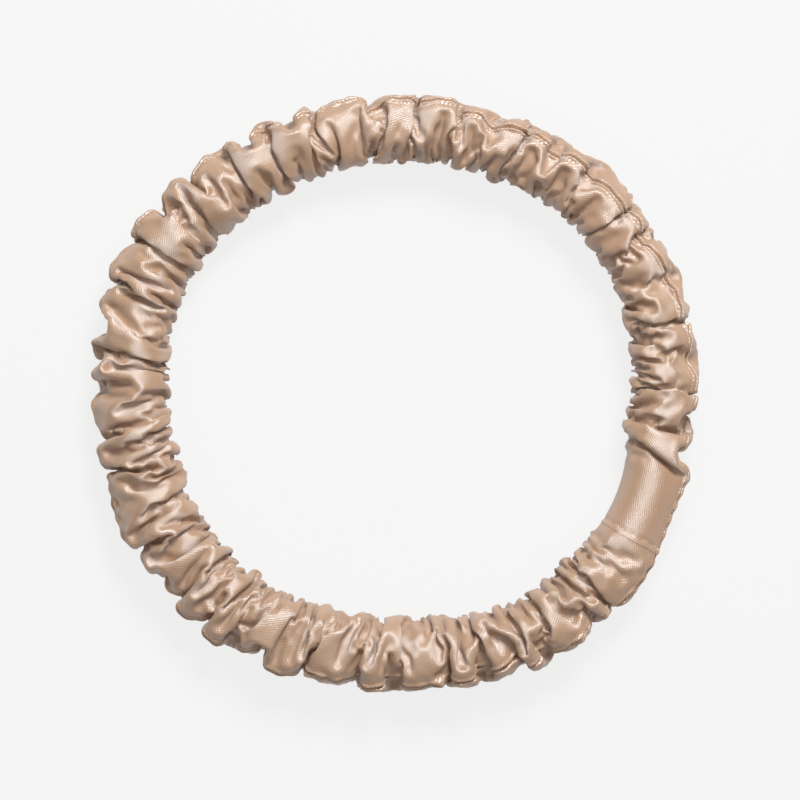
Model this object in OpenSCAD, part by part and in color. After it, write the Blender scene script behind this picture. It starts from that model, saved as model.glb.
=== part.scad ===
// Skinny satin scrunchie: a gathered tube of satin over a loop of flat elastic.
// The origin is the centre of the ring, on the surface that it lies on. +Z is up.

/* [Ring] */
// Outer diameter of the relaxed ring, over the gathered cloth
ring_d = 85; // [75:1:95]
// Diameter of the gathered tube
tube_d = 10; // [9.5:0.5:12]
// How far the tube flattens where it lies on a surface
rest_flat = 0.3; // [0.1:0.1:0.5]

/* [Cover] */
// Depth that the gathered folds of satin take up, from the outside inwards
gather_depth = 1; // [0.6:0.1:1]
// Length of the stretch where one end of the cover is tucked inside the other
overlap_len = 12.5; // [8:0.5:18]
// Thickness of the tucked end inside the cover
tuck_wall = 0.5; // [0.3:0.1:0.6]
// Direction of the join from the centre of the ring, in degrees
join_angle = -25; // [-60:5:60]
// Gap between the two halves that stand for the one stretching cover
half_gap = 0.3; // [0.2:0.1:0.5]

/* [Long seam] */
// Width of the seam allowance turned to the inside
allowance_w = 2.2; // [1.5:0.1:2.4]
// Thickness of the two layers of satin in the seam allowance
allowance_t = 0.8; // [0.5:0.1:1]
// Diameter of the sewing thread
thread_d = 0.4; // [0.3:0.05:0.5]

/* [Elastic] */
// Width of the flat elastic
elastic_w = 5; // [3:0.5:5]
// Thickness of the flat elastic
elastic_t = 1.2; // [0.8:0.1:1.2]
// Length over which the two ends of the elastic lap
lap_len = 9; // [6:0.5:12]
// Number of diagonal legs in the zigzag that sews the lap
zigzag_legs = 8; // [4:1:10]
// Height of the zigzag across the width of the elastic
zigzag_h = 3; // [2:0.5:3]

/* [Hidden] */
$fn = 96;

// Radii of the tube's own section
tube_r = tube_d / 2;
hollow_r = tube_r - gather_depth;
tuck_r = hollow_r - tuck_wall;
thread_r = thread_d / 2;

// The centreline of the tube, and its height above the surface
ring_r = ring_d / 2 - tube_r;
axis_z = tube_r - rest_flat;

// The long seam runs round the outside of the ring, at mid height
seam_wall_r = ring_r + hollow_r;
seam_thread_r = seam_wall_r - allowance_w / 2;
allowance_root = gather_depth / 2;

// The elastic pulls towards the inner edge of the tube, as far as its corners clear the tucked end
elastic_clear = 0.3;
elastic_corner_r = tuck_r - elastic_clear;
elastic_shift = sqrt(pow(elastic_corner_r, 2) - pow(elastic_w / 2, 2)) - elastic_t / 2;
elastic_r = ring_r - elastic_shift;

// Angles that lengths along the centreline cover
overlap_angle = degrees_of(overlap_len);
lap_angle = degrees_of(lap_len);

// How far the lapped ends of the elastic press into each other
lap_press = 0.05;
// The zigzag stays this far from the ends of the lap, and its legs climb one step each
zigzag_margin = 1.2;
zigzag_angle = degrees_of(lap_len - 2 * zigzag_margin);
zigzag_step = zigzag_angle / zigzag_legs;
zigzag_face_r = elastic_r + 1.5 * elastic_t - lap_press;

// The closing seam: its needle thread crosses the top of the tube, its bobbin thread the underside
closing_arc = 160;
closing_start = (180 - closing_arc) / 2;
bobbin_ring_r = axis_z - thread_r;

satin = [0.78, 0.67, 0.58];
thread_colour = [0.70, 0.58, 0.49];
elastic_colour = [0.93, 0.91, 0.87];

// Degrees round the ring that a length along its centreline covers
function degrees_of(length) = length * 180 / (PI * ring_r);

// Turns a flat section, drawn round the tube's own centre, into a stretch of the ring
module sweep(start, angle) {
    translate([0, 0, axis_z])
        rotate([0, 0, start])
            rotate_extrude(angle = angle)
                translate([ring_r, 0])
                    children();
}

// Everything on one side of the split across the ring: side 1 is +X, side -1 is -X
module keep_side(side) {
    reach = ring_d;
    intersection() {
        children();
        translate([side * (reach + half_gap) / 2, 0, 0])
            cube([reach, 2 * reach, 2 * reach], center = true);
    }
}

// Section of the tube as it lies, flattened a little underneath
module tube_section() {
    intersection() {
        circle(r = tube_r);
        translate([-tube_r, -axis_z])
            square([tube_d, tube_d]);
    }
}

// Section of the cover: the gathered wall, with the seam allowance turned inwards
module cover_section() {
    difference() {
        tube_section();
        circle(r = hollow_r);
    }
    translate([hollow_r - allowance_w, -allowance_t / 2])
        square([allowance_w + allowance_root, allowance_t]);
}

// Section of the end of the cover that is tucked inside the other end
module tuck_section() {
    difference() {
        circle(r = hollow_r + allowance_root);
        circle(r = tuck_r);
    }
}

// Half of the cover, as a hollow half ring
module cover_half(side) {
    keep_side(side)
        sweep(0, 360)
            cover_section();
}

// The half that holds the join of the cover's two ends
module cover_sewn_half() {
    color(satin) {
        cover_half(1);
        sweep(join_angle - overlap_angle / 2, overlap_angle)
            tuck_section();
    }
}

module cover_free_half() {
    color(satin) cover_half(-1);
}

// One thread of the long seam, pressed into one face of the seam allowance
module seam_thread(side, face) {
    color(thread_colour)
        keep_side(side)
            translate([0, 0, axis_z + face * allowance_t / 2])
                rotate_extrude(angle = 360)
                    translate([seam_thread_r, 0])
                        circle(r = thread_r, $fn = 24);
}

// One thread of the closing seam: an arc round the tube, in a plane across it at the join
module closing_arc_thread(radius, start) {
    color(thread_colour)
        rotate([0, 0, join_angle])
            translate([ring_r, 0, axis_z])
                rotate([90, 0, 0])
                    rotate([0, 0, start])
                        rotate_extrude(angle = closing_arc)
                            translate([radius, 0])
                                circle(r = thread_r, $fn = 24);
}

module closing_needle_thread() {
    closing_arc_thread(tube_r, closing_start);
}

module closing_bobbin_thread() {
    closing_arc_thread(bobbin_ring_r, 180 + closing_start);
}

// A closed loop of flat elastic whose two ends lap at the join
module elastic_band() {
    color(elastic_colour) {
        sweep(0, 360)
            translate([-elastic_shift, 0])
                square([elastic_t, elastic_w], center = true);
        sweep(join_angle - lap_angle / 2, lap_angle)
            translate([elastic_t - lap_press - elastic_shift, 0])
                square([elastic_t, elastic_w], center = true);
    }
}

// A straight length of thread with round ends, from one point to another
module thread_leg(from, to) {
    hull() {
        translate(from) sphere(r = thread_r, $fn = 16);
        translate(to) sphere(r = thread_r, $fn = 16);
    }
}

// Corner i of the zigzag, on the outer face of the lapped elastic
function zigzag_corner(i) = [
    zigzag_face_r * cos(join_angle - zigzag_angle / 2 + i * zigzag_step),
    zigzag_face_r * sin(join_angle - zigzag_angle / 2 + i * zigzag_step),
    axis_z + (i % 2 == 0 ? -1 : 1) * zigzag_h / 2
];

// Zigzag stitching through both ends of the elastic
module elastic_join_thread() {
    color(thread_colour)
        for (i = [0 : zigzag_legs - 1])
            thread_leg(zigzag_corner(i), zigzag_corner(i + 1));
}

cover_sewn_half();
cover_free_half();
seam_thread(1, 1);  // seam_needle_thread_sewn_half
seam_thread(-1, 1);  // seam_needle_thread_free_half
seam_thread(1, -1);  // seam_bobbin_thread_sewn_half
seam_thread(-1, -1);  // seam_bobbin_thread_free_half
closing_needle_thread();
closing_bobbin_thread();
elastic_band();
elastic_join_thread();
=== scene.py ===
"""Looks for a skinny satin scrunchie: a gathered satin cover, its seams, and the elastic inside it.

Lengths are in metres. The cover is a strip of satin sewn into a tube. A cloth simulation gathers the
tube onto the ring, and everything that is sewn to it is then laid along the simulated surface.
On the tube, "along" runs the long way round the ring and "round" runs about the tube itself, from the
long seam and back to it.
"""
import math

import bpy
import numpy as np
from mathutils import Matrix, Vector


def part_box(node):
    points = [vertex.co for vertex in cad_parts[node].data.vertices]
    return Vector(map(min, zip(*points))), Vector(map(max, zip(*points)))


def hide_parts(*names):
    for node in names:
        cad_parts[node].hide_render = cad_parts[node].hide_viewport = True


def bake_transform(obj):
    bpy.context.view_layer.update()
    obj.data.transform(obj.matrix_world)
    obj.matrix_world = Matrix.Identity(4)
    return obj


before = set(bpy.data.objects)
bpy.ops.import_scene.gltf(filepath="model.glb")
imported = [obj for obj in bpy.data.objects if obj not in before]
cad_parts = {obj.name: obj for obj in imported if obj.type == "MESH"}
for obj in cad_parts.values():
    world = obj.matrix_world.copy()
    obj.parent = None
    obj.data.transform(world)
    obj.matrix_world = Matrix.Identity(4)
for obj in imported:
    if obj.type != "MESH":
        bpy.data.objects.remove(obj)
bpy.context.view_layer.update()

MM = 0.001
CM = 0.01
TURN = 2 * math.pi
OUTWARD = -1                  # sign that turns (across x along) of the strip into its outward normal

# ---------------------------------------------------------------- sizes, from the frame

_, cover_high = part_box("cover_sewn_half")
elastic_low, elastic_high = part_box("elastic_band")
closing_low, closing_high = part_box("closing_needle_thread")

TUBE_RADIUS = 5.0 * MM
AXIS_Z = cover_high.z - TUBE_RADIUS
RING_RADIUS = cover_high.x - TUBE_RADIUS
ELASTIC_WIDTH = elastic_high.z - elastic_low.z
ELASTIC_THICK = 1.2 * MM
ELASTIC_RADIUS = -elastic_low.x - ELASTIC_THICK / 2     # on the side away from the lap
JOIN_ANGLE = math.atan2(closing_low.y + closing_high.y, closing_low.x + closing_high.x)

# ---------------------------------------------------------------- the cover as it is cut and sewn

TUBE_LENGTH = 420 * MM        # sewn tube, pulled out straight
TUBE_GIRTH = 30 * MM          # round the sewn tube
JOIN_LENGTH = 12.6 * MM       # the smooth stretch where the ends are joined
ALLOWANCE = 2.2 * MM          # each edge of the strip that is turned inside at the long seam
ALLOWANCE_STEPS = np.array([1.0, 0.66, 0.33])   # of its width, where its points lie
ALLOWANCE_GAP = 1.5           # cloth thicknesses from the seam's plane to each allowance
CLOTH_THICK = 0.14 * MM
CELLS_ALONG = 440
CELLS_ROUND = 32
JOIN_CELLS = round(JOIN_LENGTH / TUBE_LENGTH * CELLS_ALONG)

# ---------------------------------------------------------------- the simulation

SIM_SCALE = 20                # the cloth is simulated this many times its size, as a garment would be
FRAMES = 30
GATHER_FRAMES = 24            # frames over which the tube is pushed up to its full length
CORE_RADIUS = 2.75 * MM       # for the cloth to gather on: just clears the elastic's corners
CORE_RING_RADIUS = ELASTIC_RADIUS + 0.1 * MM
FORMER_RADIUS = 3.9 * MM      # the join's doubled cloth keeps its round shape
START_RADIUS = 4.6 * MM
RIPPLE = 1.2 * MM
RIPPLE_WAVES = 60
RIPPLE_FREE = (0.55, 4)       # reach and power of near_join, for the smooth part of the ripple
FORMER_REACH = (0.5, 6)       # the same, for the former
FOLD_SEED = 11
FOLDS_LEAST, FOLDS_MOST = 32, 50        # folds in one turn of the ring, for each wave of the ripple
MOST_LEAN = 3                           # folds that a wave may shift by in one turn about the tube
SATIN_BENDING = 18
SEAM_BENDING = 250            # four layers and a line of stitches
PUFF = 60                     # air pressure that stands for the springiness of the trapped folds
CORE_GRIP = 30                # friction of the elastic against the cloth
CONTACT_DISTANCE = 0.01       # these three are at the simulation's scale
CONTACT_DEPTH = 0.02
SELF_DISTANCE = 0.008
CORE_CELLS_AROUND = 240
CORE_CELLS_ABOUT = 20
TABLE_DEPTH = 5.3 * MM        # of the table below the centreline of the tube
TABLE_REACH = 0.15
SQUARE = np.array([[-1, -1, 0], [1, -1, 0], [1, 1, 0], [-1, 1, 0]])
SQUARE_FACE = np.array([[0, 1, 2, 3]])


def wrapped(angle):
    """The same angle, between half a turn either side of 0."""
    return (angle + math.pi) % TURN - math.pi


def bump(angle, centre_deg, width_deg):
    """A smooth hump of height 1 at one place on the ring."""
    return np.exp(-(wrapped(angle - math.radians(centre_deg)) / math.radians(width_deg)) ** 2)


def seam_turn(angle):
    """How far the long seam is turned up the tube from its outer edge, at each angle round the ring."""
    over_the_top = 55 * bump(angle, 47, 16)
    under_the_left = -45 * bump(angle, 185, 45)
    serpentine = (8 + 14 * bump(angle, 30, 14)) * np.sin(29 * angle)
    return np.radians(28 + over_the_top + under_the_left + serpentine)


def near_join(angle, reach, power):
    """1 on the smooth join, falling to 0 at about its own length times reach from its middle."""
    return np.exp(-(np.abs(wrapped(angle - JOIN_ANGLE)) * RING_RADIUS / (JOIN_LENGTH * reach)) ** power)


def closed_grid_faces(rows, columns):
    """Faces of a torus of vertices, numbered row by row."""
    row = np.arange(rows)[:, None]
    column = np.arange(columns)[None, :]
    here = row * columns + column
    next_row = (row + 1) % rows * columns + column
    right = row * columns + (column + 1) % columns
    next_right = (row + 1) % rows * columns + (column + 1) % columns
    return np.stack([here, next_row, next_right, right], -1).reshape(-1, 4)


def ring_points(angle, radius, height):
    """Points on a level ring round the origin, at each angle."""
    return np.stack(np.broadcast_arrays(radius * np.cos(angle), radius * np.sin(angle), height), -1)


def torus_points(ring_angle, ring_radius, tube_angle, tube_radius):
    """Points of a torus round the origin, from arrays of the same shape."""
    reach = ring_radius + tube_radius * np.cos(tube_angle)
    return ring_points(ring_angle, reach, tube_radius * np.sin(tube_angle))


def new_mesh_object(name, points, faces):
    """A mesh object from arrays of points and faces."""
    mesh = bpy.data.meshes.new(name)
    mesh.from_pydata(points.reshape(-1, 3).tolist(), [], [tuple(f) for f in faces.tolist()])
    mesh.update()
    piece = bpy.data.objects.new(name, mesh)
    bpy.context.scene.collection.objects.link(piece)
    return piece


def pressed_together():
    """Ring angle of each row of cells, with the gathered cloth packed in and the join left smooth."""
    ring_length = TURN * RING_RADIUS
    step = np.full(CELLS_ALONG, (ring_length - JOIN_LENGTH) / (CELLS_ALONG - JOIN_CELLS))
    step[:JOIN_CELLS] = JOIN_LENGTH / JOIN_CELLS
    begin = JOIN_ANGLE - JOIN_LENGTH / 2 / RING_RADIUS
    return begin + np.concatenate([[0], np.cumsum(step)[:-1]]) / RING_RADIUS


def seeded_folds(ring_angle, tube_angle):
    """A gentle random ripple across the tube that the folds grow from."""
    rng = np.random.default_rng(FOLD_SEED)
    ripple = np.zeros_like(ring_angle)
    for _ in range(RIPPLE_WAVES):
        folds = rng.integers(FOLDS_LEAST, FOLDS_MOST)
        lean = rng.integers(-MOST_LEAN, MOST_LEAN + 1)
        phase = rng.uniform(0, TURN)
        ripple += np.cos(folds * ring_angle + lean * tube_angle + phase)
    return ripple / math.sqrt(RIPPLE_WAVES / 2)


def full_turns(rows, columns):
    """Even angles round the ring and about the tube, as two arrays with a row for each ring angle."""
    around = np.arange(rows) * TURN / rows
    about = np.arange(columns) * TURN / columns
    return np.meshgrid(around, about, indexing="ij")


def start_shape():
    """The tube as first pushed onto the ring: round, with a slight ripple."""
    tube_angle = full_turns(CELLS_ALONG, CELLS_ROUND)[1]
    ring_angle = np.repeat(pressed_together()[:, None], CELLS_ROUND, axis=1)
    tube_angle = tube_angle + seam_turn(ring_angle)
    ripple = seeded_folds(ring_angle, tube_angle) * (1 - near_join(ring_angle, *RIPPLE_FREE))
    return torus_points(ring_angle, RING_RADIUS, tube_angle, START_RADIUS + RIPPLE * ripple)


def cut_shape():
    """The tube at its full cut length, as a big smooth ring. The cloth takes its own lengths from it."""
    ring_angle, tube_angle = full_turns(CELLS_ALONG, CELLS_ROUND)
    return torus_points(ring_angle, TUBE_LENGTH / TURN, tube_angle, TUBE_GIRTH / TURN)


def make_core():
    """What the cloth gathers on: the elastic, and the doubled cloth of the join."""
    around, about = full_turns(CORE_CELLS_AROUND, CORE_CELLS_ABOUT)
    join = near_join(around, *FORMER_REACH)
    tube = CORE_RADIUS + (FORMER_RADIUS - CORE_RADIUS) * join
    ring = CORE_RING_RADIUS + (RING_RADIUS - CORE_RING_RADIUS) * join
    points = torus_points(around, ring, about, tube) * SIM_SCALE
    core = new_mesh_object("core", points, closed_grid_faces(CORE_CELLS_AROUND, CORE_CELLS_ABOUT))
    core.modifiers.new("Collision", "COLLISION")
    core.collision.thickness_outer = CONTACT_DISTANCE
    core.collision.thickness_inner = CONTACT_DEPTH
    core.collision.cloth_friction = CORE_GRIP
    return core


def make_table():
    """The table under the gathering cloth."""
    corners = SQUARE * TABLE_REACH - [0, 0, TABLE_DEPTH]
    table = new_mesh_object("sim_table", corners * SIM_SCALE, SQUARE_FACE)
    table.modifiers.new("Collision", "COLLISION")
    table.collision.thickness_outer = CONTACT_DISTANCE
    return table


def gather():
    """Simulates the tube gathering on the elastic. Returns its points, a row for each ring of cells."""
    tube = new_mesh_object("sim_tube", start_shape() * SIM_SCALE,
                           closed_grid_faces(CELLS_ALONG, CELLS_ROUND))
    tube.shape_key_add(name="Basis")
    cut = tube.shape_key_add(name="cut")
    cut.data.foreach_set("co", (cut_shape() * SIM_SCALE).ravel())
    for frame_number, value in ((1, 0.0), (1 + GATHER_FRAMES, 1.0)):
        cut.value = value
        cut.keyframe_insert("value", frame=frame_number)
    for curve in tube.data.shape_keys.animation_data.action.fcurves:
        for key in curve.keyframe_points:
            key.interpolation = "LINEAR"

    rows = np.arange(CELLS_ALONG * CELLS_ROUND).reshape(CELLS_ALONG, CELLS_ROUND)
    stiff = tube.vertex_groups.new(name="stiff")
    stiff.add(rows[:, [-1, 0, 1]].ravel().tolist(), 1.0, "REPLACE")
    stiff.add(rows[:JOIN_CELLS].ravel().tolist(), 1.0, "REPLACE")

    cloth = tube.modifiers.new("Cloth", "CLOTH")
    satin = cloth.settings
    satin.quality = 5
    satin.mass = 0.3
    satin.air_damping = 1
    satin.bending_stiffness = SATIN_BENDING
    satin.vertex_group_bending = "stiff"
    satin.bending_stiffness_max = SEAM_BENDING
    satin.use_dynamic_mesh = True
    satin.use_pressure = True
    satin.uniform_pressure_force = PUFF
    satin.effector_weights.gravity = 0
    contact = cloth.collision_settings
    contact.collision_quality = 2
    contact.distance_min = CONTACT_DISTANCE
    contact.use_self_collision = True
    contact.self_distance_min = SELF_DISTANCE
    cloth.point_cache.frame_end = FRAMES

    core = make_core()
    table = make_table()
    scene = bpy.context.scene
    scene.frame_start, scene.frame_end = 1, FRAMES
    for number in range(1, FRAMES + 1):
        scene.frame_set(number)
    settled = tube.evaluated_get(bpy.context.evaluated_depsgraph_get()).data
    points = np.empty(len(settled.vertices) * 3)
    settled.vertices.foreach_get("co", points)
    for helper in (tube, core, table):
        bpy.data.objects.remove(helper)
    scene.frame_set(1)
    return points.reshape(CELLS_ALONG, CELLS_ROUND, 3) / SIM_SCALE


# ---------------------------------------------------------------- a smooth surface through the cloth


def spline_control(points):
    """Control points of the closed cubic B-spline surface that passes through the points."""
    for axis in (0, 1):
        count = points.shape[axis]
        gain = (4 + 2 * np.cos(np.arange(count) * TURN / count)) / 6
        shape = [1, 1, 1]
        shape[axis] = count
        points = np.fft.ifft(np.fft.fft(points, axis=axis) / gain.reshape(shape), axis=axis).real
    return points


def spline_terms(position, count):
    """The four control points next to each position, and their weights. Positions run from 0 to 1."""
    scaled = np.asarray(position, float) * count
    cell = np.floor(scaled).astype(int)
    t = scaled - cell
    weights = np.stack(
        [(1 - t) ** 3, 3 * t ** 3 - 6 * t ** 2 + 4, -3 * t ** 3 + 3 * t ** 2 + 3 * t + 1, t ** 3], -1
    ) / 6
    index = (cell[..., None] + np.arange(-1, 3)) % count
    return index, weights


class Surface:
    """The simulated cloth as a smooth closed surface. Both of its directions run from 0 to 1."""

    def __init__(self, points):
        self.control = spline_control(points)

    def grid(self, along, round_tube):
        """Points at every pair of positions."""
        rows, row_weights = spline_terms(along, self.control.shape[0])
        columns, column_weights = spline_terms(round_tube, self.control.shape[1])
        by_row = np.einsum("ak,akcd->acd", row_weights, self.control[rows])
        return np.einsum("bk,abkd->abd", column_weights, by_row[:, columns])

    def at(self, along, round_tube):
        """Points at matching positions."""
        rows, row_weights = spline_terms(along, self.control.shape[0])
        columns, column_weights = spline_terms(round_tube, self.control.shape[1])
        near = self.control[rows[:, :, None], columns[:, None, :]]
        return np.einsum("ak,al,akld->ad", row_weights, column_weights, near)

    def normals_at(self, along, round_tube):
        """Outward unit normals at matching positions."""
        step = 1e-4
        ahead = self.at(along + step, round_tube) - self.at(along - step, round_tube)
        aside = self.at(along, round_tube + step) - self.at(along, round_tube - step)
        return unit(np.cross(aside, ahead) * OUTWARD)


def unit(vectors):
    """The same directions, one long."""
    length = np.linalg.norm(vectors, axis=-1, keepdims=True)
    return vectors / np.maximum(length, 1e-12)


def grid_normals(points):
    """Outward unit normals of a grid that is closed both ways."""
    ahead = np.roll(points, -1, 0) - np.roll(points, 1, 0)
    aside = np.roll(points, -1, 1) - np.roll(points, 1, 1)
    return unit(np.cross(aside, ahead) * OUTWARD)


# ---------------------------------------------------------------- the satin cover

RING_WOBBLE = {               # waves round the ring: cosine and sine parts of the ring's unevenness
    0: (0.80 * MM, 0.00 * MM),
    2: (0.25 * MM, 0.00 * MM),
    3: (-0.29 * MM, 0.16 * MM),
    4: (-0.47 * MM, 0.12 * MM),
    5: (0.06 * MM, 0.23 * MM),
}
FULLNESS = 0.97               # of the tube, against the simulated one
FULLER_BELOW = 0.05           # how much fuller the tube is towards -y, and slimmer towards +y
FULLER_LEFT = 0.05            # the same, for -x and +x
IRONING_PASSES = 9
IRONED = (0.40, 6)            # reach and power of near_join, for the ironed part
WAISTED = (0.35, 2)           # the same, for the slimmer middle
WAIST = 0.03                  # how much slimmer the tube is in the middle of the smooth join
TABLE_CLEARANCE = 0.15 * MM   # under the plain cloth, because the seam's lips stand proud of it
COVER_ROWS = 1300
COVER_COLUMNS = 72
SEAM_CROWDING = 0.8           # how much closer the columns stand beside the long seam

LIP_HEIGHT = 0.34 * MM        # of the two puckered lips of the long seam
LIP_OFFSET = 0.42 * MM
LIP_WIDTH = 0.24 * MM
LIP_PUCKER = 0.25             # how much the stitches pull the lips down between them
GROOVE_DEPTH = 0.40 * MM      # the groove between them
GROOVE_WIDTH = 0.16 * MM
STITCH_LENGTH = 2.0 * MM      # of the long seam's lockstitch, along the cloth
STITCH_GAP = 0.35 * MM

EDGE_FROM_START = 1.4 * MM    # folded edge of the outer end, from the start of the smooth join
EDGE_STEP = 0.10 * MM         # how far it stands above the end tucked into it
EDGE_ROUNDING = 0.12 * MM
EDGE_ROWS = 25                # extra rows of points across the edge
EDGE_ROWS_REACH = 6 * EDGE_ROUNDING     # on each side of it
CLOSING_FROM_EDGE = 0.8 * MM  # from that edge to the closing stitches
CLOSING_DIP = 0.08 * MM
CLOSING_PIT = 0.16 * MM       # depth of the needle holes, at the ends of the closing stitches
CLOSING_WIDTH = 2.5 * EDGE_ROUNDING
CLOSING_STITCH = TUBE_GIRTH / 16


def ironed_at_join(points):
    """The same cloth with the small dents taken out of its smooth join, as the doubled layers do."""
    angle = np.arctan2(points[..., 1], points[..., 0])
    share = near_join(angle, *IRONED)[..., None]
    for _ in range(IRONING_PASSES):
        beside = [np.roll(points, step, axis) for axis in (0, 1) for step in (-1, 1)]
        points = points + share * (sum(beside) / 4 - points)
    return points


def placed_on_table(points):
    """The gathered tube with the ring's slight unevenness, lying on the table."""
    angle = np.arctan2(points[..., 1], points[..., 0])
    outward = ring_points(angle, 1, 0)
    off_centre = points - RING_RADIUS * outward
    fullness = FULLNESS - FULLER_BELOW * np.sin(angle) - FULLER_LEFT * np.cos(angle)
    fullness -= WAIST * near_join(angle, *WAISTED)
    shift = sum(c * np.cos(n * angle) + s * np.sin(n * angle) for n, (c, s) in RING_WOBBLE.items())
    placed = (RING_RADIUS + shift)[..., None] * outward + off_centre * fullness[..., None]
    placed[..., 2] += TABLE_CLEARANCE - placed[..., 2].min()
    return placed


def column_positions():
    """Positions round the tube, closer together beside the long seam."""
    even = np.arange(COVER_COLUMNS + 1) / COVER_COLUMNS
    return even - SEAM_CROWDING / TURN * np.sin(TURN * even)


def row_positions():
    """Positions along the tube, with extra ones across the folded edge of the join."""
    even = np.arange(COVER_ROWS) / COVER_ROWS
    edge = EDGE_FROM_START / TUBE_LENGTH
    extra = edge + np.linspace(-EDGE_ROWS_REACH, EDGE_ROWS_REACH, EDGE_ROWS) / TUBE_LENGTH
    return np.unique(np.concatenate([even, extra % 1.0]))


def seam_relief(along, from_seam):
    """Height of the long seam's lips and groove. Both arguments are lengths on the cloth."""
    pucker = 1 - LIP_PUCKER + LIP_PUCKER * np.cos(TURN * along / STITCH_LENGTH)
    lips = LIP_HEIGHT * np.exp(-((np.abs(from_seam) - LIP_OFFSET) / LIP_WIDTH) ** 2)
    groove = GROOVE_DEPTH * np.exp(-(from_seam / GROOVE_WIDTH) ** 2)
    return lips * pucker - groove


def join_relief(along, from_seam):
    """Height of the outer end of the cover over the end tucked into it, and the dip of its stitches."""
    from_edge = along - EDGE_FROM_START
    step = EDGE_STEP * (0.5 + 0.5 * np.tanh(2 * from_edge / EDGE_ROUNDING))
    fade = np.clip((JOIN_LENGTH - from_edge) / JOIN_LENGTH, 0, 1)
    needle_hole = (0.5 + 0.5 * np.cos(TURN * from_seam / CLOSING_STITCH)) ** 2
    depth = CLOSING_DIP + CLOSING_PIT * needle_hole
    dip = depth * np.exp(-((from_edge - CLOSING_FROM_EDGE) / CLOSING_WIDTH) ** 2)
    return step * fade - dip


def relief(along, round_tube):
    """How far the sewing lifts or sinks the cloth. Both arguments run from 0 to 1."""
    length = along * TUBE_LENGTH
    length = np.where(length > TUBE_LENGTH / 2, length - TUBE_LENGTH, length)
    from_seam = (round_tube + 0.5) % 1.0 * TUBE_GIRTH - TUBE_GIRTH / 2
    joined = np.where(np.abs(length) < 2 * JOIN_LENGTH, join_relief(length, from_seam), 0)
    return seam_relief(along * TUBE_LENGTH, from_seam) + joined


def seam_allowance(edge_points, side):
    """The turned-in edge of the strip on one side of the long seam, from its raw edge out to the seam."""
    angle = np.arctan2(edge_points[:, 1], edge_points[:, 0])
    core = ring_points(angle, RING_RADIUS, AXIS_Z)
    inward = unit(core - edge_points)
    along = unit(np.roll(edge_points, -1, 0) - np.roll(edge_points, 1, 0))
    apart = unit(np.cross(along, inward)) * side * ALLOWANCE_GAP * CLOTH_THICK
    return np.stack([edge_points + inward * depth + apart for depth in ALLOWANCE_STEPS * ALLOWANCE], 1)


def cover_face(surface):
    """The outer face of the whole strip, from one raw edge to the other, and its flat coordinates."""
    along = row_positions()
    round_tube = column_positions()
    smooth = surface.grid(along, round_tube)
    raised = relief(along[:, None], round_tube[None, :])
    normals = grid_normals(smooth[:, :-1])
    normals = np.concatenate([normals, normals[:, :1]], 1)
    face = smooth + normals * raised[..., None]
    first = seam_allowance(face[:, 0], -1)
    last = seam_allowance(face[:, -1], 1)[:, ::-1]
    strip = np.concatenate([first, face, last], 1)
    turned_in = ALLOWANCE_STEPS * ALLOWANCE
    across = np.concatenate([-turned_in, round_tube * TUBE_GIRTH, TUBE_GIRTH + turned_in[::-1]])
    return strip, along * TUBE_LENGTH, across


def strip_normals(strip):
    """Outward unit normals of the strip, which is closed along its length only."""
    ahead = np.roll(strip, -1, 0) - np.roll(strip, 1, 0)
    aside = np.gradient(strip, axis=1)
    return unit(np.cross(aside, ahead) * OUTWARD)


def make_cover(surface):
    """The satin cover: a closed skin with an outer and an inner face, as thick as the cloth."""
    outer, lengths, across = cover_face(surface)
    inner = outer - strip_normals(outer) * CLOTH_THICK
    rows, columns = outer.shape[:2]
    row = np.arange(rows)[:, None]
    column = np.arange(columns - 1)[None, :]
    here = row * columns + column
    ahead = (row + 1) % rows * columns + column
    outer_faces = np.stack([here, here + 1, ahead + 1, ahead], -1).reshape(-1, 4)
    inner_faces = outer_faces[:, ::-1] + rows * columns
    ring = np.arange(rows)
    next_ring = (ring + 1) % rows
    rims = []
    for edge, order in ((0, 1), (columns - 1, -1)):
        rim = np.stack([
            ring * columns + edge,
            next_ring * columns + edge,
            rows * columns + next_ring * columns + edge,
            rows * columns + ring * columns + edge,
        ], -1)
        rims.append(rim[:, ::order])
    faces = np.concatenate([outer_faces, inner_faces, *rims])
    points = np.concatenate([outer.reshape(-1, 3), inner.reshape(-1, 3)])
    cover = new_mesh_object("satin_cover", points, faces)
    cover.data.polygons.foreach_set("use_smooth", np.ones(len(faces), bool))
    lay_flat(cover, lengths, across)
    return cover


def lay_flat(cover, lengths, across):
    """UVs that are the cloth's own flat coordinates, in centimetres."""
    rows, columns = len(lengths), len(across)
    corner = np.empty(len(cover.data.loops), int)
    cover.data.loops.foreach_get("vertex_index", corner)
    corner %= rows * columns
    u = lengths[corner // columns].copy()
    v = across[corner % columns]
    by_face = u.reshape(-1, 4)
    wraps = by_face.max(1) - by_face.min(1) > TUBE_LENGTH / 2
    by_face[wraps[:, None] & (by_face < TUBE_LENGTH / 2)] += TUBE_LENGTH
    layer = cover.data.uv_layers.new(name="strip")
    layer.data.foreach_set("uv", (np.stack([by_face.ravel(), v], -1) / CM).ravel())


# ---------------------------------------------------------------- threads

THREAD_RADIUS = 0.12 * MM
THREAD_SIDES = 8
STITCH_RINGS = 7
NEEDLE_LIFT = -0.4 * THREAD_RADIUS      # of the thread's middle above the cloth
BOBBIN_LIFT = -3.0 * THREAD_RADIUS
CLOSING_LIFT = -0.8 * THREAD_RADIUS
CLOSING_DIVE = 1.2 * THREAD_RADIUS      # below the cloth, where a closing stitch ends


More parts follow.
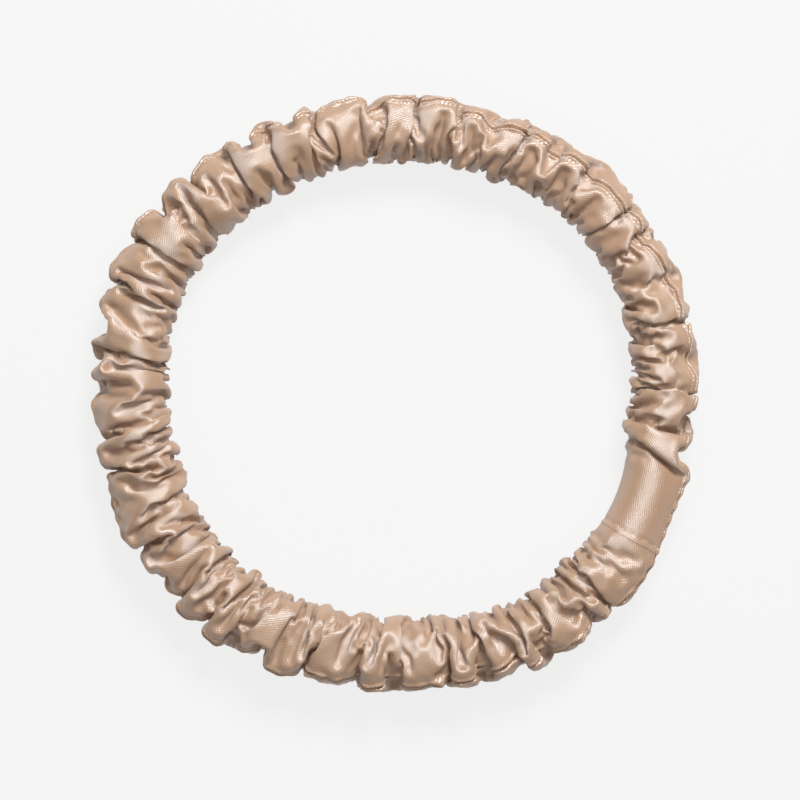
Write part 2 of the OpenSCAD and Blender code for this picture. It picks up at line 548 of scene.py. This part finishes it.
def tube_mesh(centres, radius, sides):
    """Points and faces of a round tube with capped ends along a line of centres."""
    ahead = unit(np.gradient(centres, axis=0))
    helper = np.where(np.abs(ahead[:, 2:3]) > 0.9, [[1.0, 0, 0]], [[0, 0, 1.0]])
    across = unit(np.cross(helper, ahead))
    up = np.cross(ahead, across)
    turn = np.arange(sides) * TURN / sides
    ring = across[:, None] * np.cos(turn)[None, :, None] + up[:, None] * np.sin(turn)[None, :, None]
    points = centres[:, None] + ring * radius
    count = len(centres)
    row = np.arange(count - 1)[:, None]
    column = np.arange(sides)[None, :]
    beside = (column + 1) % sides
    walls = np.stack([
        row * sides + column,
        row * sides + beside,
        (row + 1) * sides + beside,
        (row + 1) * sides + column,
    ], -1).reshape(-1, 4).tolist()
    caps = [list(range(sides))[::-1], [(count - 1) * sides + k for k in range(sides)]]
    return points.reshape(-1, 3), walls + caps


def join_parts(name, parts):
    """One object from several (points, faces) parts."""
    points, faces, offset = [], [], 0
    for part_points, part_faces in parts:
        points.append(part_points)
        faces += [[k + offset for k in face] for face in part_faces]
        offset += len(part_points)
    mesh = bpy.data.meshes.new(name)
    mesh.from_pydata(np.concatenate(points).tolist(), [], faces)
    mesh.polygons.foreach_set("use_smooth", np.ones(len(faces), bool))
    mesh.update()
    piece = bpy.data.objects.new(name, mesh)
    bpy.context.scene.collection.objects.link(piece)
    return piece


def stitch(surface, start, end, lift, dive):
    """One stitch laid on the cloth between two (along, round) positions: it dives in at both ends."""
    t = np.linspace(0, 1, STITCH_RINGS)
    along = (start[0] + (end[0] - start[0]) * t) % 1.0
    round_tube = (start[1] + (end[1] - start[1]) * t) % 1.0
    height = relief(along, round_tube) + lift - (lift + dive) * np.abs(2 * t - 1) ** 4
    centres = surface.at(along, round_tube) + surface.normals_at(along, round_tube) * height[:, None]
    return tube_mesh(centres, THREAD_RADIUS, THREAD_SIDES)


def long_seam_stitches(surface, name, lift):
    """The row of lockstitches along the long seam."""
    count = round(TUBE_LENGTH / STITCH_LENGTH)
    gap = STITCH_GAP / STITCH_LENGTH
    parts = []
    for k in range(count):
        start = ((k + gap / 2) / count, 0.0)
        end = ((k + 1 - gap / 2) / count, 0.0)
        parts.append(stitch(surface, start, end, lift, THREAD_RADIUS))
    return join_parts(name, parts)


def closing_stitches(surface, name, first, last):
    """Stitches across the tube where its ends are joined, over one part of the way round."""
    along = (EDGE_FROM_START + CLOSING_FROM_EDGE) / TUBE_LENGTH
    count = round((last - first) * TUBE_GIRTH / CLOSING_STITCH)
    step = (last - first) / count
    gap = step * STITCH_GAP / CLOSING_STITCH
    parts = []
    for k in range(count):
        start = (along, first + k * step + gap / 2)
        end = (along, first + (k + 1) * step - gap / 2)
        parts.append(stitch(surface, start, end, CLOSING_LIFT, CLOSING_DIVE))
    return join_parts(name, parts)


# ---------------------------------------------------------------- the elastic

ELASTIC_RIBS = 7
RIB_HEIGHT = 0.09 * MM
LAP_LENGTH = 9 * MM
ELASTIC_STEPS = 360
SECTION_STEPS = 60
EDGE_SQUARENESS = 8           # the higher, the squarer the band's edges
ZIGZAG_LEGS = 10
ZIGZAG_STEPS = 8              # along each leg
ZIGZAG_MARGIN = 1.2 * MM      # from each end of the lap to the zigzag
ZIGZAG_REACH = 1.5 * MM       # of the zigzag above and below the middle of the band
ZIGZAG_LIFT = 0.3 * THREAD_RADIUS       # of the thread's middle off the band


def elastic_section():
    """Outline of the braided band, with ribbed faces and round edges, as (radial, height) pairs."""
    across = np.linspace(-0.5, 0.5, SECTION_STEPS)
    height = across * ELASTIC_WIDTH
    edge = np.sqrt(np.clip(1 - (2 * across) ** EDGE_SQUARENESS, 0, 1))
    ribs = RIB_HEIGHT * (np.cos(TURN * ELASTIC_RIBS * across) - 1)
    half = (ELASTIC_THICK / 2 + ribs) * edge
    outer = np.stack([half, height], -1)
    inner = np.stack([-half, height], -1)[::-1]
    return np.concatenate([outer, inner[1:-1]])


def make_elastic(middle_z):
    """The elastic: one strip bent into a loop, with its last stretch lapped over its first."""
    lap = LAP_LENGTH / ELASTIC_RADIUS
    turn = np.linspace(0, TURN + lap, ELASTIC_STEPS)
    rise = np.clip((turn - (TURN - lap)) / lap, 0, 1)
    radius = ELASTIC_RADIUS + ELASTIC_THICK * rise * rise * (3 - 2 * rise)
    angle = JOIN_ANGLE - lap / 2 + turn
    section = elastic_section()
    reach = radius[:, None] + section[None, :, 0]
    points = ring_points(angle[:, None], reach, middle_z + section[None, :, 1])
    sides = len(section)
    row = np.arange(ELASTIC_STEPS - 1)[:, None]
    column = np.arange(sides)[None, :]
    beside = (column + 1) % sides
    faces = np.stack([
        row * sides + column,
        (row + 1) * sides + column,
        (row + 1) * sides + beside,
        row * sides + beside,
    ], -1).reshape(-1, 4).tolist()
    faces += [list(range(sides)), [(ELASTIC_STEPS - 1) * sides + k for k in range(sides)][::-1]]
    return join_parts("elastic_loop", [(points.reshape(-1, 3), faces)])


def make_elastic_stitches(middle_z):
    """A zigzag through both ends of the elastic, on the outer face of the lap."""
    radius = ELASTIC_RADIUS + 1.5 * ELASTIC_THICK + ZIGZAG_LIFT
    spread = (LAP_LENGTH - 2 * ZIGZAG_MARGIN) / ELASTIC_RADIUS
    t = np.linspace(0, 1, ZIGZAG_LEGS * ZIGZAG_STEPS + 1)
    angle = JOIN_ANGLE + (t - 0.5) * spread
    swing = np.abs((t * ZIGZAG_LEGS / 2) % 1.0 * 2 - 1) * 2 - 1
    centres = ring_points(angle, radius, middle_z + swing * ZIGZAG_REACH)
    return join_parts("elastic_join_stitches", [tube_mesh(centres, THREAD_RADIUS, THREAD_SIDES)])


# ---------------------------------------------------------------- materials

SATIN_SHADE_BETWEEN_FLOATS = (0.31, 0.144, 0.064)       # between the floats of the weave: the cloth's colour, darkened as painted shade
SATIN_FLOAT_GLINT_COLOUR = (0.44, 0.275, 0.17)       # on them: the cloth's colour, painted paler as glints
SATIN_ROUGHNESS = 0.44
SATIN_SPECULAR = 1.0
SATIN_IOR = 1.8
SATIN_SHEEN = 0.10
SATIN_SHEEN_ROUGHNESS = 0.8

TWILL_ANGLE, TWILL_PERIOD = 122, 0.030  # degrees from the strip's length, and centimetres
WEFT_ANGLE, WEFT_PERIOD = 48, 0.032
WAVE_RADIANS = 20                       # that Blender's wave texture turns through in one unit
TWILL_IN_FLOATS = 0.3                   # the rest is the dots where the two directions cross
# shares in the base colour of the floats' painted shade and glints, and of a random tone
FLOATS_IN_PAINTED_SHADE, CLOUDS_IN_TONE = 0.9, 0.3
FLOATS_IN_BUMP, SLUB_IN_BUMP = 0.8, 0.3
WEAVE_DEPTH = 0.035 * MM
SLUB_SCALE = (2.5, 60.0, 1.0)           # slubs are long along the strip, and thin across it
CLOUD_SCALE = 0.9

THREAD_COLOUR = (0.47, 0.31, 0.21)
THREAD_DARK, THREAD_PALE = (0.40, 0.26, 0.17), (0.56, 0.38, 0.27)
THREAD_ROUGHNESS = 0.55
THREAD_SHEEN, THREAD_SHEEN_ROUGHNESS = 0.3, 0.5
TWIST_SCALE = 700.0
TWIST_DEPTH = 0.05 * MM

ELASTIC_COLOUR = (0.80, 0.77, 0.70)
YARN_PALE, YARN_DARK = (0.84, 0.82, 0.76), (0.66, 0.63, 0.56)
ELASTIC_ROUGHNESS = 0.7
ELASTIC_SHEEN, ELASTIC_SHEEN_ROUGHNESS = 0.2, 0.6
YARN_SCALE = 2200.0
YARN_DEPTH = 0.08 * MM


def new_material(name, base_color, roughness):
    """A material, its node tree and its Principled shader."""
    material = bpy.data.materials.new(name)
    material.use_nodes = True
    shader = material.node_tree.nodes["Principled BSDF"]
    shader.inputs["Base Color"].default_value = (*base_color, 1)
    shader.inputs["Roughness"].default_value = roughness
    return material, material.node_tree, shader


def node(tree, kind, **settings):
    """A new shader node with some of its properties set."""
    made = tree.nodes.new(kind)
    for name, value in settings.items():
        setattr(made, name, value)
    return made


def set_inputs(made, **values):
    """Sets a node's inputs by name, with underscores for spaces."""
    for name, value in values.items():
        made.inputs[name.replace("_", " ")].default_value = value


def mix_colours(tree, factor, first, second):
    """A colour that runs from first to second as the factor socket goes from 0 to 1."""
    mix = node(tree, "ShaderNodeMix", data_type="RGBA")
    tree.links.new(factor, mix.inputs["Factor"])
    mix.inputs["A"].default_value = (*first, 1)
    mix.inputs["B"].default_value = (*second, 1)
    return mix.outputs["Result"]


def stripes(tree, place, angle_deg, period):
    """Slightly wavy stripes across the given direction of a 2-D place, a period apart."""
    turned = node(tree, "ShaderNodeMapping")
    set_inputs(turned, Rotation=(0, 0, -math.radians(angle_deg)))
    tree.links.new(place, turned.inputs["Vector"])
    waves = node(tree, "ShaderNodeTexWave", wave_type="BANDS", bands_direction="X", wave_profile="SIN")
    set_inputs(waves, Scale=TURN / WAVE_RADIANS / period)
    set_inputs(waves, Distortion=1.0, Detail=2.0, Detail_Scale=2.0)
    tree.links.new(turned.outputs["Vector"], waves.inputs["Vector"])
    return waves.outputs["Fac"]


def arithmetic(tree, operation, first, second):
    """The value of a sum or product of two sockets or numbers."""
    made = node(tree, "ShaderNodeMath", operation=operation)
    for socket, value in zip(made.inputs, (first, second)):
        if isinstance(value, (int, float)):
            socket.default_value = value
        else:
            tree.links.new(value, socket)
    return made.outputs["Value"]


def weighted_sum(tree, first, second):
    """The sum of two (value, weight) pairs."""
    parts = [arithmetic(tree, "MULTIPLY", value, weight) for value, weight in (first, second)]
    return arithmetic(tree, "ADD", *parts)


def add_bump(tree, shader, height, strength, depth):
    """Raises the surface by a height socket, as bump."""
    bump_node = node(tree, "ShaderNodeBump")
    set_inputs(bump_node, Strength=strength, Distance=depth)
    tree.links.new(height, bump_node.inputs["Height"])
    tree.links.new(bump_node.outputs["Normal"], shader.inputs["Normal"])


def satin_material():
    """Champagne satin: a lattice of short floats, which shine where the cloth bends towards the light.
    Its colour also has painted shade between the floats and painted glints on them.
    """
    material, tree, shader = new_material("satin", SATIN_FLOAT_GLINT_COLOUR, SATIN_ROUGHNESS)
    set_inputs(shader, IOR=SATIN_IOR, Specular_IOR_Level=SATIN_SPECULAR, Anisotropic=1.0)
    set_inputs(shader, Sheen_Weight=SATIN_SHEEN, Sheen_Roughness=SATIN_SHEEN_ROUGHNESS)
    flat = node(tree, "ShaderNodeUVMap", uv_map="strip").outputs["UV"]

    along = node(tree, "ShaderNodeTangent", direction_type="UV_MAP", uv_map="strip")
    tree.links.new(along.outputs["Tangent"], shader.inputs["Tangent"])

    twill = stripes(tree, flat, TWILL_ANGLE, TWILL_PERIOD)
    weft = stripes(tree, flat, WEFT_ANGLE, WEFT_PERIOD)
    dots = arithmetic(tree, "MULTIPLY", twill, weft)
    floats = weighted_sum(tree, (twill, TWILL_IN_FLOATS), (dots, 1 - TWILL_IN_FLOATS))

    long_yarn = node(tree, "ShaderNodeMapping")
    set_inputs(long_yarn, Scale=SLUB_SCALE)
    tree.links.new(flat, long_yarn.inputs["Vector"])
    slub = node(tree, "ShaderNodeTexNoise")
    set_inputs(slub, Scale=1.0, Detail=3.0, Roughness=0.6)
    tree.links.new(long_yarn.outputs["Vector"], slub.inputs["Vector"])

    cloudy = node(tree, "ShaderNodeTexNoise")
    set_inputs(cloudy, Scale=CLOUD_SCALE, Detail=2.0)
    tree.links.new(flat, cloudy.inputs["Vector"])
    # the base colour: a random tone, with painted shade between the weave's floats and painted glints on
    # them
    shade = weighted_sum(tree, (cloudy.outputs["Fac"], CLOUDS_IN_TONE), (floats, FLOATS_IN_PAINTED_SHADE))
    tree.links.new(mix_colours(tree, shade, SATIN_SHADE_BETWEEN_FLOATS, SATIN_FLOAT_GLINT_COLOUR), shader.inputs["Base Color"])

    height = weighted_sum(tree, (floats, FLOATS_IN_BUMP), (slub.outputs["Fac"], SLUB_IN_BUMP))
    add_bump(tree, shader, height, 1.0, WEAVE_DEPTH)
    return material


def thread_material():
    """Polyester sewing thread, with the twist of its plies."""
    material, tree, shader = new_material("thread", THREAD_COLOUR, THREAD_ROUGHNESS)
    set_inputs(shader, Sheen_Weight=THREAD_SHEEN, Sheen_Roughness=THREAD_SHEEN_ROUGHNESS)
    place = node(tree, "ShaderNodeTexCoord")
    twist = node(tree, "ShaderNodeTexWave", bands_direction="DIAGONAL")
    set_inputs(twist, Scale=TWIST_SCALE, Distortion=1.0)
    tree.links.new(place.outputs["Object"], twist.inputs["Vector"])
    colour = mix_colours(tree, twist.outputs["Fac"], THREAD_DARK, THREAD_PALE)
    tree.links.new(colour, shader.inputs["Base Color"])
    add_bump(tree, shader, twist.outputs["Fac"], 0.5, TWIST_DEPTH)
    return material


def elastic_material():
    """Off-white braided elastic: crossing yarns over rubber."""
    material, tree, shader = new_material("elastic", ELASTIC_COLOUR, ELASTIC_ROUGHNESS)
    set_inputs(shader, Sheen_Weight=ELASTIC_SHEEN, Sheen_Roughness=ELASTIC_SHEEN_ROUGHNESS)
    place = node(tree, "ShaderNodeTexCoord")
    yarn = node(tree, "ShaderNodeTexVoronoi")
    set_inputs(yarn, Scale=YARN_SCALE)
    tree.links.new(place.outputs["Object"], yarn.inputs["Vector"])
    colour = mix_colours(tree, yarn.outputs["Distance"], YARN_PALE, YARN_DARK)
    tree.links.new(colour, shader.inputs["Base Color"])
    add_bump(tree, shader, yarn.outputs["Distance"], 0.5, YARN_DEPTH)
    return material


# ---------------------------------------------------------------- the scene

TABLE_WHITE = 0.06
TABLE_GLOW = 0.825
TABLE_ROUGHNESS = 0.9
FLOOR_REACH = 1.5
WORLD_LIGHT = 0.17
KEY_PLACE = (0.12, 0.38, 0.48)
KEY_SIZE = 0.22
KEY_POWER = 5.9
KEY_COLOUR = (0.88, 0.98, 1.05)
OVERHEAD_HEIGHT = 0.9
OVERHEAD_SIZE = 1.2
OVERHEAD_POWER = 4.0
SENSOR_WIDTH = 36
VIEW_DISTANCE = 0.6
VIEW_WIDTH = 0.1121
VIEW_CENTRE = (0.0002, -0.0010)


def area_light(name, place, size, power, colour):
    """A square softbox aimed at the middle of the ring."""
    lamp = bpy.data.lights.new(name, "AREA")
    lamp.size = size
    lamp.energy = power
    lamp.color = colour
    holder = bpy.data.objects.new(name, lamp)
    bpy.context.scene.collection.objects.link(holder)
    holder.location = place
    holder.rotation_euler = (-Vector(place)).to_track_quat("-Z", "Y").to_euler()


def make_floor():
    """A plain pale table top. Its tint cancels the key light's, so that it looks neutral."""
    colour = [TABLE_WHITE / part for part in KEY_COLOUR]
    material, _, shader = new_material("table", colour, TABLE_ROUGHNESS)
    set_inputs(shader, Specular_IOR_Level=0.0)
    set_inputs(shader, Emission_Color=(1, 1, 1, 1), Emission_Strength=TABLE_GLOW)
    floor = new_mesh_object("table_top", SQUARE * FLOOR_REACH, SQUARE_FACE)
    floor.data.materials.append(material)


def make_camera():
    """Straight above the ring, far enough off for an almost parallel view."""
    lens = bpy.data.cameras.new("camera")
    lens.sensor_width = SENSOR_WIDTH
    lens.lens = SENSOR_WIDTH * VIEW_DISTANCE / VIEW_WIDTH
    camera = bpy.data.objects.new("camera", lens)
    bpy.context.scene.collection.objects.link(camera)
    camera.location = (VIEW_CENTRE[0], VIEW_CENTRE[1], AXIS_Z + VIEW_DISTANCE)
    bpy.context.scene.camera = camera


def light_scene():
    """Soft daylight from above, with the brighter softbox beyond the far side of the ring."""
    world = bpy.data.worlds.new("studio")
    bpy.context.scene.world = world
    world.use_nodes = True
    set_inputs(world.node_tree.nodes["Background"], Color=(1, 1, 1, 1), Strength=WORLD_LIGHT)
    area_light("key", KEY_PLACE, KEY_SIZE, KEY_POWER, KEY_COLOUR)
    area_light("overhead", (0, 0, OVERHEAD_HEIGHT), OVERHEAD_SIZE, OVERHEAD_POWER, (1, 1, 1))
    bpy.context.scene.view_settings.view_transform = "Standard"


# ---------------------------------------------------------------- building it

settled = gather()
gathered = placed_on_table(ironed_at_join(settled))
cloth_surface = Surface(gathered)
middle_z = float(gathered[..., 2].mean())

cover = make_cover(cloth_surface)
cover.data.materials.append(satin_material())
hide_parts("cover_sewn_half", "cover_free_half")

thread = thread_material()
needle_row = long_seam_stitches(cloth_surface, "long_seam_needle_stitches", NEEDLE_LIFT)
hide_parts("seam_needle_thread_sewn_half", "seam_needle_thread_free_half")
bobbin_row = long_seam_stitches(cloth_surface, "long_seam_bobbin_stitches", BOBBIN_LIFT)
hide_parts("seam_bobbin_thread_sewn_half", "seam_bobbin_thread_free_half")
closing_top = closing_stitches(cloth_surface, "closing_needle_stitches", 0.0, 0.5)
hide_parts("closing_needle_thread")
closing_under = closing_stitches(cloth_surface, "closing_bobbin_stitches", 0.5, 1.0)
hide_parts("closing_bobbin_thread")
elastic = make_elastic(middle_z)
elastic.data.materials.append(elastic_material())
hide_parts("elastic_band")
elastic_stitches = make_elastic_stitches(middle_z)
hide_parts("elastic_join_thread")
threads = [needle_row, bobbin_row, closing_top, closing_under, elastic_stitches]
for piece in threads:
    piece.data.materials.append(thread)
for piece in [cover, elastic, *threads]:
    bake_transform(piece)

make_floor()
make_camera()
light_scene()
